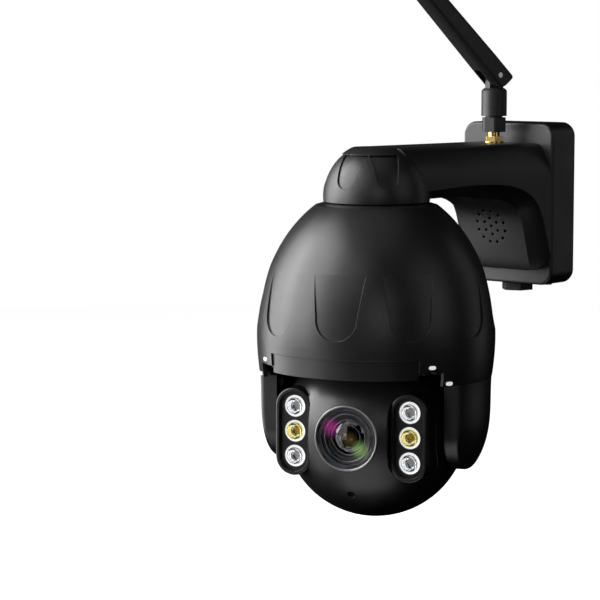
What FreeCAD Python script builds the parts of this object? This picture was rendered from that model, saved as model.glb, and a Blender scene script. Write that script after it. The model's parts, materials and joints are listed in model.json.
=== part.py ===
import FreeCAD, Part
import math
import os

# Wall-mounted pan and tilt security camera.
# Row frame in mm: origin at the centre of the wall bracket's back face, +X to the right,
# +Y into the wall, +Z up. The camera hangs from the bracket's arm on a vertical pan axis.
# Pan-body parts are drawn in a camera frame: pan axis at X = Y = 0, lens looking along -Y,
# then turned by REST_PAN and moved out to the pan axis.

# wall bracket
PLATE_W = 58.0
PLATE_H = 86.4
PLATE_T = 21.7
PLATE_CORNER_R = 7.5
PLATE_EDGE_R = 1.5
PLATE_BOTTOM = -PLATE_H / 2
WALL = 3.0
PAN_Y = -135.7
ARM_BOTTOM = 8.0
ARM_TOP_CAP = 33.9
ARM_TOP_WALL = 32.5
ARM_ROOT_Y = -PLATE_T + 1.0
GUSSET_BOTTOM = -35.0
CAP_BOTTOM = 6.9
GRILLE_Z = -11.8
GRILLE_RING = 4.35
GRILLE_HOLE_R = 0.85
SPEAKER_R = 11.0
# half widths where the arm's lower edges start to round, and how far they have risen there
FLANK = ((20.4, 0.0), (23.0, 2.4), (26.4, 5.8), (29.6, 10.5))
FLANK_BACK_Y = -8.0

# wall fixing
WALL_PLATE_W = 51.0
WALL_PLATE_H = 80.0
WALL_PLATE_T = 2.0
GASKET_T = 1.0
LOCK_X = 15.0
LOCK_Y = -4.4
WALL_HOLE_X = 36.0
WALL_HOLE_Z = 60.0
WALL_HOLE_R = 2.6

# cable gland under the bracket
GLAND_Y = -11.0
GLAND_AF = 15.0
GLAND_BORE_R = 3.25
GLAND_END_Z = PLATE_BOTTOM - 4.4

# antenna
ANT_Y = -34.5
ANT_HINGE_Z = 68.6
ANT_SHOULDER_Z = 61.6
ANT_LEAN = 45.0
ANT_HEADING = -21.0
BLADE_LENGTH = 158.0

# pan body
REST_PAN = 18.5
DOME_R = 60.0
DOME_HALF_H = 77.0
DOME_MID_Z = -61.0
DOME_WALL = 2.5
DOME_TOP_Z = 6.3
NECK_R = 26.9
SKIRT_Z = -75.7
SIDE_SKIRT_Z = -79.7
RIDGE_Z = -66.0
NOTCH_TOP_Z = -72.3
NOTCH_AZ = (40.0, 53.0)
NOTCH_SCREW_R = 54.0
NOTCH_SCREW_AZ = (-46.5, 46.5)
# azimuth, height and outer end of each stud on the skirt
STUD_SITES = ((-46.5, -69.8, 60.1), (46.5, -69.8, 60.1), (-56.5, -78.3, 59.4), (56.5, -78.3, 59.4))
SCALLOPS = 10
EAR_INNER = 44.0
EAR_HALF_F = 24.5
EAR_TOP_Z = -80.0
EAR_MID_Z = -106.0
EAR_BOTTOM_Z = -125.6
EAR_WALL = 2.2
EAR_SCREW = (50.0, 21.0)

# pan bearing stack
HUB_R = 8.0
HUB_BORE_R = 5.5
HUB_END_Z = -47.0
CAP_SCREW_R = 17.0
CAP_SCREW_AZ = (30.0, 150.0, 270.0)
RACE_R = 13.0
YOKE_PLATE_Z = -42.0
YOKE_T = 2.6

# gears
MODULE = 0.8
PAN_GEAR_T = 40
PINION_T = 14
TILT_GEAR_T = 26
IDLER_T = 41
BACKLASH = 0.16
PRESSURE = math.radians(20.0)

# tilt ball
BALL_R = 46.6
BALL_WALL = 2.5
BALL_FLAT = 43.0
TILT_Z = -105.8
LENS_Z = -106.5
LENS_R = 16.4
POD_X = 30.0
POD_R = 9.5
POD_FRONT = 37.5
POD_FACE = 35.6
POD_FACE_R = 7.6
LED_PITCH = 12.5
LED_R = 5.4
SENSOR_HOLE_DROP = 30.0
BALL_SCREW_SITES = ((-22, -138), (22, -138), (-22, -74), (22, -74))
HEAD_SINK = 3.9

# places that follow from the gear sizes
IDLER_Z = TILT_Z + MODULE * (TILT_GEAR_T + IDLER_T) / 2
MOTOR_Z = IDLER_Z + MODULE * (IDLER_T + PINION_T) / 2
PAN_MOTOR_X = -MODULE * (PAN_GEAR_T + PINION_T) / 2
ARM_X = (EAR_INNER + 0.2, EAR_INNER + 0.2 + YOKE_T)
GEAR_X = ARM_X[1] + 0.5
GEAR_T = 2.6

V = FreeCAD.Vector
X_AXIS = V(1, 0, 0)
Y_AXIS = V(0, 1, 0)
Z_AXIS = V(0, 0, 1)
ORIGIN = V(0, 0, 0)


# ---------------------------------------------------------------- helpers

def box(x, y, z):
    """Box from (low, high) pairs."""
    size = [pair[1] - pair[0] for pair in (x, y, z)]
    return Part.makeBox(size[0], size[1], size[2], V(x[0], y[0], z[0]))


def cyl_z(r, z, x=0.0, y=0.0):
    return Part.makeCylinder(r, z[1] - z[0], V(x, y, z[0]), Z_AXIS)


def cyl_x(r, x, y=0.0, z=0.0):
    return Part.makeCylinder(r, x[1] - x[0], V(x[0], y, z), X_AXIS)


def cyl_f(r, f, x=0.0, z=0.0):
    """Cylinder along the lens direction, between two distances in front of the pan axis."""
    return Part.makeCylinder(r, f[1] - f[0], V(x, -f[1], z), Y_AXIS)


def ring_z(r_out, r_in, z, x=0.0, y=0.0):
    return cyl_z(r_out, z, x, y).cut(cyl_z(r_in, (z[0] - 1, z[1] + 1), x, y))


def ring_x(r_out, r_in, x, y=0.0, z=0.0):
    return cyl_x(r_out, x, y, z).cut(cyl_x(r_in, (x[0] - 1, x[1] + 1), y, z))


def ring_f(r_out, r_in, f, x=0.0, z=0.0):
    return cyl_f(r_out, f, x, z).cut(cyl_f(r_in, (f[0] - 1, f[1] + 1), x, z))


def hexagon(across_flats, z, x=0.0, y=0.0, turn=0.0):
    r = across_flats / 2 / math.cos(math.pi / 6)
    angles = [math.radians(turn + 60 * i) for i in range(7)]
    pts = [V(x + r * math.cos(a), y + r * math.sin(a), z[0]) for a in angles]
    return Part.Face(Part.makePolygon(pts)).extrude(V(0, 0, z[1] - z[0]))


def line(a, b):
    return Part.LineSegment(a, b).toShape()


def curve(points, start=None, end=None):
    """Smooth curve through a few points, with end directions where they matter."""
    c = Part.BSplineCurve()
    if start:
        c.interpolate(Points=points, InitialTangent=start, FinalTangent=end)
    else:
        c.interpolate(points)
    return c.toShape()


def revolve(edges, centre=ORIGIN):
    face = Part.Face(Part.Wire(edges))
    return face.revolve(centre, Z_AXIS, 360)


def wedge(az_low, az_high, z, reach=80.0):
    """Sector about the pan axis; azimuth 0 is the lens direction, positive towards +X."""
    def point(az):
        return V(reach * math.sin(math.radians(az)), -reach * math.cos(math.radians(az)), z[0])
    mid = (az_low + az_high) / 2
    rim = Part.Arc(point(az_low), point(mid), point(az_high)).toShape()
    start = V(0, 0, z[0])
    face = Part.Face(Part.Wire([line(start, point(az_low)), rim, line(point(az_high), start)]))
    return face.extrude(V(0, 0, z[1] - z[0]))


def fused(shapes):
    out = shapes[0]
    for s in shapes[1:]:
        out = out.fuse(s)
    return out.removeSplitter()


def on_pan(shape):
    """Camera frame to row frame."""
    out = shape.copy()
    out.rotate(ORIGIN, Z_AXIS, REST_PAN)
    out.translate(V(0, PAN_Y, 0))
    return out


def on_cap(shape):
    """Fixed parts drawn about the pan axis."""
    out = shape.copy()
    out.translate(V(0, PAN_Y, 0))
    return out


def polar(shape, count, first=0.0):
    copies = []
    for i in range(count):
        s = shape.copy()
        s.rotate(ORIGIN, Z_AXIS, first + 360.0 * i / count)
        copies.append(s)
    return copies


def export(shape, node):
    shape.exportStep("parts/" + node + ".step")


# ---------------------------------------------------------------- gears

def involute_angle(ratio):
    """Involute function for a point at base radius / radius = ratio."""
    if ratio >= 1.0:
        return 0.0
    a = math.acos(ratio)
    return math.tan(a) - a


def gear(teeth, height, bore, phase=0.0):
    """Spur gear about Z from z = 0, with one tooth centred at the angle phase in degrees."""
    pitch_r = MODULE * teeth / 2
    base_r = pitch_r * math.cos(PRESSURE)
    root_r = pitch_r - 1.15 * MODULE
    tip_r = pitch_r + 0.8 * MODULE
    half_at_pitch = (math.pi * MODULE / 2 - BACKLASH) / (2 * pitch_r)
    half_at_base = half_at_pitch + involute_angle(math.cos(PRESSURE))
    flank = [root_r, max(base_r, root_r + 0.05), (pitch_r + base_r) / 2 + 0.1,
             pitch_r + 0.3 * MODULE, tip_r]
    points = []
    for i in range(teeth):
        centre = math.radians(phase) + 2 * math.pi * i / teeth
        halves = [half_at_base - involute_angle(base_r / r) for r in flank]
        side = [(r, centre - h) for r, h in zip(flank, halves)]
        other = [(r, centre + h) for r, h in zip(reversed(flank), reversed(halves))]
        points += [V(r * math.cos(a), r * math.sin(a), 0) for r, a in side + other]
    points.append(points[0])
    body = Part.Face(Part.makePolygon(points)).extrude(V(0, 0, height))
    return body.cut(cyl_z(bore, (-1, height + 1)))


def along_x(shape, x, z):
    """A Z-axis part laid along +X, its own +X direction turned to point up (+Z)."""
    out = shape.copy()
    out.rotate(ORIGIN, Y_AXIS, 90)
    out.rotate(ORIGIN, X_AXIS, 180)
    out.translate(V(x, 0, z))
    return out


# ---------------------------------------------------------------- wall bracket

def arm_section(y, halves, top, drop, inset):
    """Section across the arm: rounded lower corners, upright sides, arched roof, flat top."""
    low, high, shoulder, lid = [h - inset for h in halves]
    base = GUSSET_BOTTOM + inset
    r = 10.0 - inset

    def side(s):
        roof = curve([V(s * low, y, ARM_BOTTOM),
                      V(s * high, y, 20.0),
                      V(s * shoulder, y, top - drop - inset),
                      V(s * lid, y, top - inset)], V(0, 0, 1), V(-s, 0, 0))
        wall = line(V(s * low, y, base + r), V(s * low, y, ARM_BOTTOM))
        knee = Part.Arc(V(s * (low - r), y, base), V(s * (low - r * 0.2929), y, base + r * 0.2929),
                        V(s * low, y, base + r)).toShape()
        return [knee, wall, roof]
    bottom = line(V(r - low, y, base), V(low - r, y, base))
    summit = line(V(lid, y, top - inset), V(-lid, y, top - inset))
    return Part.Wire([bottom] + side(1) + [summit] + side(-1)[::-1])


def arm_envelope(inset, y_wall):
    """Loft of the arm's section from the pan axis to the wall box, reaching down over the gusset."""
    near = arm_section(PAN_Y, (24.6, 23.8, 17.6, 10.1), ARM_TOP_CAP, 3.2, inset)
    far = arm_section(y_wall, (28.6, 27.4, 23.2, 17.0), ARM_TOP_WALL, 3.9, inset)
    return Part.makeLoft([near, far], True, True)


def side_view(x, lift, inset, y_wall):
    """Side view of arm and gusset at a distance x from the middle plane, raised by lift."""
    low = ARM_BOTTOM + inset + lift
    front = curve([V(x, -88.0 + 14 * inset, low),
                   V(x, -52.0 + 2 * inset + 0.5 * lift, 3.0 + 0.9 * (inset + lift)),
                   V(x, -41.0 + inset + 0.85 * lift, -2.6 + 0.3 * inset + 0.5 * lift),
                   V(x, -36.0 + inset + lift, GRILLE_Z + 0.2 * lift),
                   V(x, -27.5 + inset + lift, GUSSET_BOTTOM + inset)])
    first = front.Vertexes[0].Point
    last = front.Vertexes[-1].Point
    corners = [last, V(x, y_wall, last.z), V(x, y_wall, 50), V(x, PAN_Y, 50), V(x, PAN_Y, low), first]
    return Part.Wire([front] + [line(p, q) for p, q in zip(corners, corners[1:])])


def arm_and_gusset():
    """Arm with its concave gusset; a crisp edge, then a rounded flank on either side."""
    middle = Part.Face(side_view(-FLANK[0][0], 0.0, 0.0, FLANK_BACK_Y)).extrude(V(2 * FLANK[0][0], 0, 0))
    right = Part.makeLoft([side_view(x, lift, 0.0, FLANK_BACK_Y) for x, lift in FLANK], True)
    left = right.mirror(ORIGIN, X_AXIS)
    return fused([middle, right, left]).common(arm_envelope(0.0, ARM_ROOT_Y))


def arm_hollow():
    """Space inside the arm and the gusset, open towards the wall box."""
    y_wall = -PLATE_T + WALL + 1.0
    envelope = arm_envelope(WALL, y_wall)
    upper = box((-40, 40), (PAN_Y, y_wall), (ARM_BOTTOM + WALL, 50))
    web = Part.Face(side_view(-23.0, 0.0, WALL, y_wall)).extrude(V(46.0, 0, 0))
    web = web.common(box((-40, 40), (-60, 0), (-60, 12)))
    return [envelope.common(upper), envelope.common(web)]


def cap_profile(inset, bottom):
    """Closed neck cap at the end of the arm, as edges in the XZ plane."""
    side = curve([V(NECK_R - 0.2 - inset, 0, bottom),
                  V(26.3 - inset, 0, 14.7),
                  V(20.6 - inset * 0.9, 0, 27.2 - inset * 0.3),
                  V(12.0 - inset * 0.5, 0, ARM_TOP_CAP - inset)])
    low = side.Vertexes[0].Point
    high = side.Vertexes[-1].Point
    return [line(V(0, 0, bottom), low), side, line(high, V(0, 0, high.z)),
            line(V(0, 0, high.z), V(0, 0, bottom))]


def cap_scallop_cutter():
    """Shallow U-shaped recess in the neck cap, open at its upper end."""
    outline = [line(V(-7.2, 0, 30.5), V(-5.2, 0, 19.0)),
               Part.Arc(V(-5.2, 0, 19.0), V(0, 0, 14.2), V(5.2, 0, 19.0)).toShape(),
               line(V(5.2, 0, 19.0), V(7.2, 0, 30.5)),
               line(V(7.2, 0, 30.5), V(-7.2, 0, 30.5))]
    prism = Part.Face(Part.Wire(outline)).extrude(V(0, -40, 0))
    return prism.cut(revolve(cap_profile(0.8, CAP_BOTTOM)))


def plate_shell():
    plate = box((-PLATE_W / 2, PLATE_W / 2), (-PLATE_T, -GASKET_T), (-PLATE_H / 2, PLATE_H / 2))
    corners = [e for e in plate.Edges if abs(e.tangentAt(e.FirstParameter).y) > 0.9]
    plate = plate.makeFillet(PLATE_CORNER_R, corners)
    rim = [e for e in plate.Edges if e.CenterOfMass.y < -PLATE_T + 0.01]
    return plate.makeFillet(PLATE_EDGE_R, rim)


def plate_cavity():
    cavity = box((-PLATE_W / 2 + WALL, PLATE_W / 2 - WALL), (-PLATE_T + WALL, 1),
                 (-PLATE_H / 2 + WALL, PLATE_H / 2 - WALL))
    corners = [e for e in cavity.Edges if abs(e.tangentAt(e.FirstParameter).y) > 0.9]
    return cavity.makeFillet(PLATE_CORNER_R - WALL, corners)


def grille_holes():
    holes = [(0.0, 0.0)]
    for ring, count in ((1, 6), (2, 12)):
        for i in range(count):
            a = 2 * math.pi * (i + 0.5) / count
            holes.append((ring * GRILLE_RING * math.cos(a), ring * GRILLE_RING * math.sin(a)))
    return [cyl_f(GRILLE_HOLE_R, (26.0, 56.0), x, GRILLE_Z + z) for x, z in holes]


def cap_screw_sites():
    return [(CAP_SCREW_R * math.cos(math.radians(a)), CAP_SCREW_R * math.sin(math.radians(a)))
            for a in CAP_SCREW_AZ]


def cap_scallops():
    out = []
    for a in (-50.6, 0.0, 50.6):
        recess = cap_scallop_cutter()
        recess.rotate(ORIGIN, Z_AXIS, a)
        out.append(on_cap(recess))
    return out


def speaker_collar():
    """Wall round the speaker on the inside of the grille."""
    collar = ring_f(12.6, SPEAKER_R, (26.0, 50.0), 0, GRILLE_Z)
    solid = Part.Face(side_view(-23.5, 0.0, 1.0, ARM_ROOT_Y)).extrude(V(47.0, 0, 0))
    return collar.common(solid)


def wall_bracket():
    """Hollow moulding: wall box, arm, gusset and neck cap."""
    cap = on_cap(revolve(cap_profile(0.0, CAP_BOTTOM)))
    body = fused([plate_shell(), arm_and_gusset(), cap])
    body = body.cut([plate_cavity(), on_cap(revolve(cap_profile(WALL, CAP_BOTTOM - 1.0)))] + arm_hollow())
    posts = [cyl_z(3.2, (10.3, 30.0), x, y) for x, y in cap_screw_sites()]
    posts = [on_cap(p.common(revolve(cap_profile(1.0, CAP_BOTTOM)))) for p in posts]
    body = fused([body, speaker_collar()] + posts)
    cuts = [on_cap(cyl_z(1.25, (9.0, 20.0), x, y)) for x, y in cap_screw_sites()]
    cuts += grille_holes()
    cuts.append(cyl_z(3.3, (20, 40), 0, ANT_Y))
    cuts.append(cyl_z(6.1, (PLATE_BOTTOM - 5, PLATE_BOTTOM + 5), 0, GLAND_Y))
    cuts += cap_scallops()
    cuts += [cyl_z(1.7, (PLATE_BOTTOM - 5, PLATE_BOTTOM + 5), x, LOCK_Y) for x in (-LOCK_X, LOCK_X)]
    return body.cut(cuts)


def wall_plate():
    """Steel plate screwed to the wall; the bracket hooks over it."""
    plate = box((-WALL_PLATE_W / 2, WALL_PLATE_W / 2), (-WALL_PLATE_T, 0),
                (-WALL_PLATE_H / 2, WALL_PLATE_H / 2))
    corners = [e for e in plate.Edges if abs(e.tangentAt(e.FirstParameter).y) > 0.9]
    plate = plate.makeFillet(3.5, corners)
    tabs = [box((x - 4, x + 4), (-7.2, -WALL_PLATE_T), (-WALL_PLATE_H / 2, -WALL_PLATE_H / 2 + 2.2))
            for x in (-LOCK_X, LOCK_X)]
    holes = [cyl_f(WALL_HOLE_R, (-2, 8), sx * WALL_HOLE_X / 2, sz * WALL_HOLE_Z / 2)
             for sx in (-1, 1) for sz in (-1, 1)]
    holes += [cyl_z(1.3, (-50, -30), x, LOCK_Y) for x in (-LOCK_X, LOCK_X)]
    return fused([plate] + tabs).cut(holes)


def wall_gasket():
    """Foam seal between the bracket's rim and the wall."""
    outer = box((-PLATE_W / 2 + 0.4, PLATE_W / 2 - 0.4), (-GASKET_T, 0),
                (-PLATE_H / 2 + 0.4, PLATE_H / 2 - 0.4))
    corners = [e for e in outer.Edges if abs(e.tangentAt(e.FirstParameter).y) > 0.9]
    outer = outer.makeFillet(PLATE_CORNER_R - 0.4, corners)
    inner = box((-WALL_PLATE_W / 2 - 0.3, WALL_PLATE_W / 2 + 0.3), (-2, 1),
                (-WALL_PLATE_H / 2 - 0.3, WALL_PLATE_H / 2 + 0.3))
    edges = [e for e in inner.Edges if abs(e.tangentAt(e.FirstParameter).y) > 0.9]
    return outer.cut(inner.makeFillet(3.8, edges))


def wall_lock_screws():
    """Two screws up through the bracket's floor into the wall plate's tabs."""
    screws = []
    for x in (-LOCK_X, LOCK_X):
        head = cyl_z(2.5, (PLATE_BOTTOM - 1.4, PLATE_BOTTOM), x, LOCK_Y)
        head = head.cut(hexagon(2.0, (PLATE_BOTTOM - 2, PLATE_BOTTOM - 0.6), x, LOCK_Y))
        screws.append(head.fuse(cyl_z(1.2, (PLATE_BOTTOM, PLATE_BOTTOM + 9.0), x, LOCK_Y)))
    return Part.makeCompound(screws)


def cable_gland():
    """Hex gland body under the bracket with a rubber-lined bore."""
    head = hexagon(GLAND_AF, (GLAND_END_Z, PLATE_BOTTOM), 0, GLAND_Y, 16.5)
    body = fused([head, cyl_z(6.0, (PLATE_BOTTOM, PLATE_BOTTOM + 7.0), 0, GLAND_Y)])
    return body.cut(cyl_z(4.6, (GLAND_END_Z - 1, PLATE_BOTTOM + 8.0), 0, GLAND_Y))


def cable_gland_nut():
    return ring_z(7.4, 6.05, (PLATE_BOTTOM + WALL + 0.1, PLATE_BOTTOM + WALL + 3.5), 0, GLAND_Y)


def cable_grommet():
    return ring_z(4.55, GLAND_BORE_R, (GLAND_END_Z + 0.4, PLATE_BOTTOM + 7.0), 0, GLAND_Y)


def speaker():
    cone = cyl_f(SPEAKER_R, (24.5, 29.0), 0, GRILLE_Z)
    dish = Part.makeCone(9.0, 4.0, 3.0, V(0, -29.2, GRILLE_Z), Y_AXIS)
    magnet = cyl_f(7.0, (19.5, 24.5), 0, GRILLE_Z)
    return fused([cone.cut(dish), magnet])


# ---------------------------------------------------------------- antenna

def antenna_jack():
    """Threaded coaxial bulkhead jack through the arm's roof."""
    tube = cyl_z(3.1, (25.0, 43.0), 0, ANT_Y)
    flange = cyl_z(5.2, (25.5, 27.0), 0, ANT_Y)
    return fused([tube, flange]).cut(cyl_z(2.2, (38.0, 44.0), 0, ANT_Y))


def antenna_jack_nut():
    """Washer and hex nut that clamp the jack to the arm."""
    washer = ring_z(5.3, 3.15, (32.75, 33.45), 0, ANT_Y)
    nut = hexagon(9.0, (33.5, 36.1), 0, ANT_Y, 12.0).cut(cyl_z(3.12, (33, 37), 0, ANT_Y))
    return Part.makeCompound([washer, nut])


def antenna_collar():
    """Hex coupling nut at the antenna's foot, screwed onto the jack."""
    body = hexagon(12.0, (38.5, 46.1), 0, ANT_Y, 10.0).common(cyl_z(6.6, (38.5, 46.1), 0, ANT_Y))
    body = body.cut(cyl_z(3.3, (38, 43.6), 0, ANT_Y))
    return body.cut(cyl_z(4.56, (43.5, 47), 0, ANT_Y))


def at_antenna(shape):
    out = shape.copy()
    out.rotate(ORIGIN, Z_AXIS, ANT_HEADING)
    out.translate(V(0, ANT_Y, 0))
    return out


def antenna_barrel():
    """Swivelling barrel with the flat tongue that carries the blade's hinge pin."""
    barrel = cyl_z(6.75, (46.9, ANT_SHOULDER_Z))
    barrel = barrel.makeChamfer(1.3, [e for e in barrel.Edges if e.CenterOfMass.z > ANT_SHOULDER_Z - 0.01])
    neck = cyl_z(4.5, (44.0, 46.9))
    tab = box((-2.3, 2.3), (-4.3, 4.3), (58.0, ANT_HINGE_Z)).fuse(
        cyl_x(4.3, (-2.3, 2.3), 0, ANT_HINGE_Z))
    body = fused([barrel, neck, tab])
    return at_antenna(body.cut(cyl_x(1.56, (-5, 5), 0, ANT_HINGE_Z)))


def antenna_pin():
    return at_antenna(lean(cyl_x(1.5, (-6.0, 6.0))))


def lean(shape):
    """Blade frame (hinge at the origin, blade up) to its leaning place over the barrel."""
    out = shape.copy()
    out.rotate(ORIGIN, X_AXIS, ANT_LEAN)
    out.translate(V(0, 0, ANT_HINGE_Z))
    return out


def blade_section(z, half_x, half_y, corner):
    b = box((-half_x, half_x), (-half_y, half_y), (z, z + 1))
    upright = [e for e in b.Edges if abs(e.tangentAt(e.FirstParameter).z) > 0.9]
    b = b.makeFillet(corner, upright)
    return [f for f in b.Faces if abs(f.CenterOfMass.z - z) < 1e-6][0].OuterWire


def antenna_blade():
    """Forked, slightly tapering blade; the fork straddles the barrel's tongue."""
    root = [line(V(0, 6.2, 10), V(0, 6.2, -4.6)),
            Part.Arc(V(0, 6.2, -4.6), V(0, 5.6, -6.0), V(0, 4.2, -6.4)).toShape(),
            line(V(0, 4.2, -6.4), V(0, 0, -6.2)),
            Part.Arc(V(0, 0, -6.2), V(0, -4.384, -4.384), V(0, -6.2, 0)).toShape(),
            line(V(0, -6.2, 0), V(0, -6.2, 10)),
            line(V(0, -6.2, 10), V(0, 6.2, 10))]
    face = Part.Face(Part.Wire(root))
    face.translate(V(-6.4, 0, 0))
    foot = face.extrude(V(12.8, 0, 0))
    stem = Part.makeLoft([blade_section(9.0, 6.4, 6.2, 3.5),
                          blade_section(BLADE_LENGTH, 4.6, 4.6, 3.5)], True)
    dome = [e for e in stem.Edges if e.CenterOfMass.z > BLADE_LENGTH - 0.01]
    stem = stem.makeFillet(2.2, dome)
    rounded = Part.Face(blade_section(-8.0, 6.4, 6.2, 3.5)).extrude(V(0, 0, 18.0))
    body = fused([foot.common(rounded), stem])
    body = body.cut([box((-2.6, 2.6), (-7, 7), (-8, 9.6)), cyl_x(1.52, (-8, 8))])
    return at_antenna(lean(body))


# ---------------------------------------------------------------- pan support, fixed

def pan_hub():
    """Base disc in the neck cap with the hollow hub that the camera turns on."""
    body = fused([cyl_z(22.9, (7.2, 10.2)), cyl_z(HUB_R, (HUB_END_Z, 10.2))])
    body = body.cut(cyl_z(HUB_BORE_R, (HUB_END_Z - 1, 11)))
    holes = [cyl_z(1.35, (6, 11), x, y) for x, y in cap_screw_sites()]
    seats = [cyl_z(2.6, (6, 8.8), x, y) for x, y in cap_screw_sites()]
    return on_cap(body.cut(holes + seats))


def pan_hub_screws():
    screws = []
    for x, y in cap_screw_sites():
        head = cyl_z(2.4, (7.3, 8.8), x, y).cut(hexagon(2.0, (7.0, 8.1), x, y))
        screws.append(on_cap(head.fuse(cyl_z(1.2, (8.8, 18.0), x, y))))
    return Part.makeCompound(screws)


def pan_gear():
    """Fixed sun gear on the hub; the pan pinion walks around it."""
    g = gear(PAN_GEAR_T, 4.0, HUB_R, REST_PAN)
    g.translate(V(0, 0, -34.0))
    return on_cap(g)


def pan_retaining_nut():
    return on_cap(hexagon(19.0, (-46.8, YOKE_PLATE_Z - 0.3)).cut(cyl_z(HUB_R, (-48, YOKE_PLATE_Z))))


# ---------------------------------------------------------------- pan body

def dome_edges(inset, top_z):
    """Outer or inner profile of the dome: its start, its curves and its lower end."""
    a = DOME_R - inset
    b = DOME_HALF_H - inset
    t_top = math.asin((top_z - DOME_MID_Z) / b)
    start = V(a * math.cos(t_top), 0, top_z)
    steps = [t_top * (1 - i / 6.0) for i in range(7)]
    upper = curve([V(a * math.cos(t), 0, DOME_MID_Z + b * math.sin(t)) for t in steps])
    equator = V(a, 0, DOME_MID_Z)
    low = V(a - 1.5, 0, SIDE_SKIRT_Z - inset)
    mid = V(a - 0.42, 0, (DOME_MID_Z + SIDE_SKIRT_Z - inset) / 2)
    skirt = Part.Arc(equator, mid, low).toShape()
    return start, [upper, skirt], low


def dome_solid(inset, top_z, ledge):
    """Solid of revolution inside the dome profile; ledge is (radius, z) of the neck's top edge."""
    start, edges, low = dome_edges(inset, top_z)
    edge = V(ledge[0], 0, ledge[1])
    axis_top = V(0, 0, ledge[1])
    axis_low = V(0, 0, low.z)
    return revolve([line(axis_top, edge), line(edge, start)] + edges + [line(low, axis_low),
                                                                       line(axis_low, axis_top)])


def dome_radius(z):
    return DOME_R * math.sqrt(1 - ((z - DOME_MID_Z) / DOME_HALF_H) ** 2)


def scallop_cutter():
    """Tapering U-shaped recess: deepest in the middle, fading out at its upper end."""
    outline = [line(V(-13.6, 0, -22.0), V(-10.6, 0, -46.0)),
               Part.Arc(V(-10.6, 0, -46.0), V(0, 0, -57.0), V(10.6, 0, -46.0)).toShape(),
               line(V(10.6, 0, -46.0), V(13.6, 0, -22.0)),
               line(V(13.6, 0, -22.0), V(-13.6, 0, -22.0))]
    prism = Part.Face(Part.Wire(outline)).extrude(V(0, -70, 0))
    depth = ((-21.0, -0.25), (-32.0, 0.35), (-45.0, 0.8), (-58.0, 0.6))
    floor = curve([V(dome_radius(z) - d, 0, z) for z, d in depth])
    top = floor.Vertexes[0].Point
    low = floor.Vertexes[-1].Point
    band = revolve([floor, line(low, V(75, 0, low.z)), line(V(75, 0, low.z), V(75, 0, top.z)),
                    line(V(75, 0, top.z), top)])
    return prism.common(band)


def polar_point(r, az):
    return (r * math.sin(math.radians(az)), -r * math.cos(math.radians(az)))


def dome_shell():
    """Egg-shaped upper housing with recessed scallops, visor band and two side notches."""
    outer = dome_solid(0.0, 5.2, (NECK_R, DOME_TOP_Z))
    inner = dome_solid(DOME_WALL, 3.0, (NECK_R - 3.0, 3.4))
    bosses = [cyl_z(3.4, (NOTCH_TOP_Z, -58.0), *polar_point(NOTCH_SCREW_R, az)) for az in NOTCH_SCREW_AZ]
    ribs = [box((-1.2, 1.2), (-57.0, -54.0), (-64.0, -20.0))]
    shell = outer.cut(inner)
    shell = fused([shell] + [b.common(outer) for b in bosses] + [r.common(outer) for r in ribs])
    cuts = polar(scallop_cutter(), SCALLOPS)
    skin = Part.makeCylinder(80, 20, V(0, 0, RIDGE_Z - 20)).cut(
        Part.makeCone(DOME_R - 2.4, DOME_R - 0.95, 20, V(0, 0, RIDGE_Z - 20)))
    cuts.append(skin.common(wedge(-NOTCH_AZ[0], NOTCH_AZ[0], (RIDGE_Z - 20, RIDGE_Z))))
    low = SIDE_SKIRT_Z - 10
    cuts.append(wedge(-NOTCH_AZ[0], NOTCH_AZ[0], (low, SKIRT_Z)))
    cuts.append(wedge(NOTCH_AZ[0], NOTCH_AZ[1], (low, NOTCH_TOP_Z)))
    cuts.append(wedge(-NOTCH_AZ[1], -NOTCH_AZ[0], (low, NOTCH_TOP_Z)))
    cuts.append(wedge(127.0, 233.0, (low, SKIRT_Z)))
    cuts.append(cyl_z(RACE_R, (2, 8)))
    cuts += skirt_stud_blanks()
    cuts += [cyl_z(1.25, (-75, -62), *polar_point(NOTCH_SCREW_R, az)) for az in NOTCH_SCREW_AZ]
    return on_pan(shell.cut(cuts))


def notch_screws():
    """Small screws in the two notches, heads facing down."""
    screws = []
    for az in NOTCH_SCREW_AZ:
        x, y = polar_point(NOTCH_SCREW_R, az)
        head = cyl_z(2.3, (NOTCH_TOP_Z - 1.5, NOTCH_TOP_Z), x, y)
        head = head.cut(hexagon(1.8, (NOTCH_TOP_Z - 2.0, NOTCH_TOP_Z - 0.7), x, y))
        screws.append(on_pan(head.fuse(cyl_z(1.2, (NOTCH_TOP_Z, -63.0), x, y))))
    return Part.makeCompound(screws)


def skirt_stud_blanks():
    """Oval studs lying across the skirt: one above and one beside each notch."""
    blanks = []
    for az, z, reach in STUD_SITES:
        blank = fused([box((-0.9, 0.9), (-reach, -57.2), (z - 0.9, z + 0.9)),
                       cyl_f(0.9, (57.2, reach), -0.9, z),
                       cyl_f(0.9, (57.2, reach), 0.9, z)])
        blank.rotate(ORIGIN, Z_AXIS, az)
        blanks.append(blank)
    return blanks


def skirt_studs():
    return Part.makeCompound([on_pan(blank) for blank in skirt_stud_blanks()])


def dome_base_ring():
    """Baffle that closes the dome above the ball."""
    ring = ring_z(55.8, 35.4, (-73.8, -72.0))
    slot = box((42.5, 60.0), (-19.0, 19.0), (-80, -60))
    bays = [cyl_z(4.2, (-80, -60), *polar_point(NOTCH_SCREW_R, az)) for az in NOTCH_SCREW_AZ]
    return on_pan(ring.cut([slot, mirrored(slot)] + bays))


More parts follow.
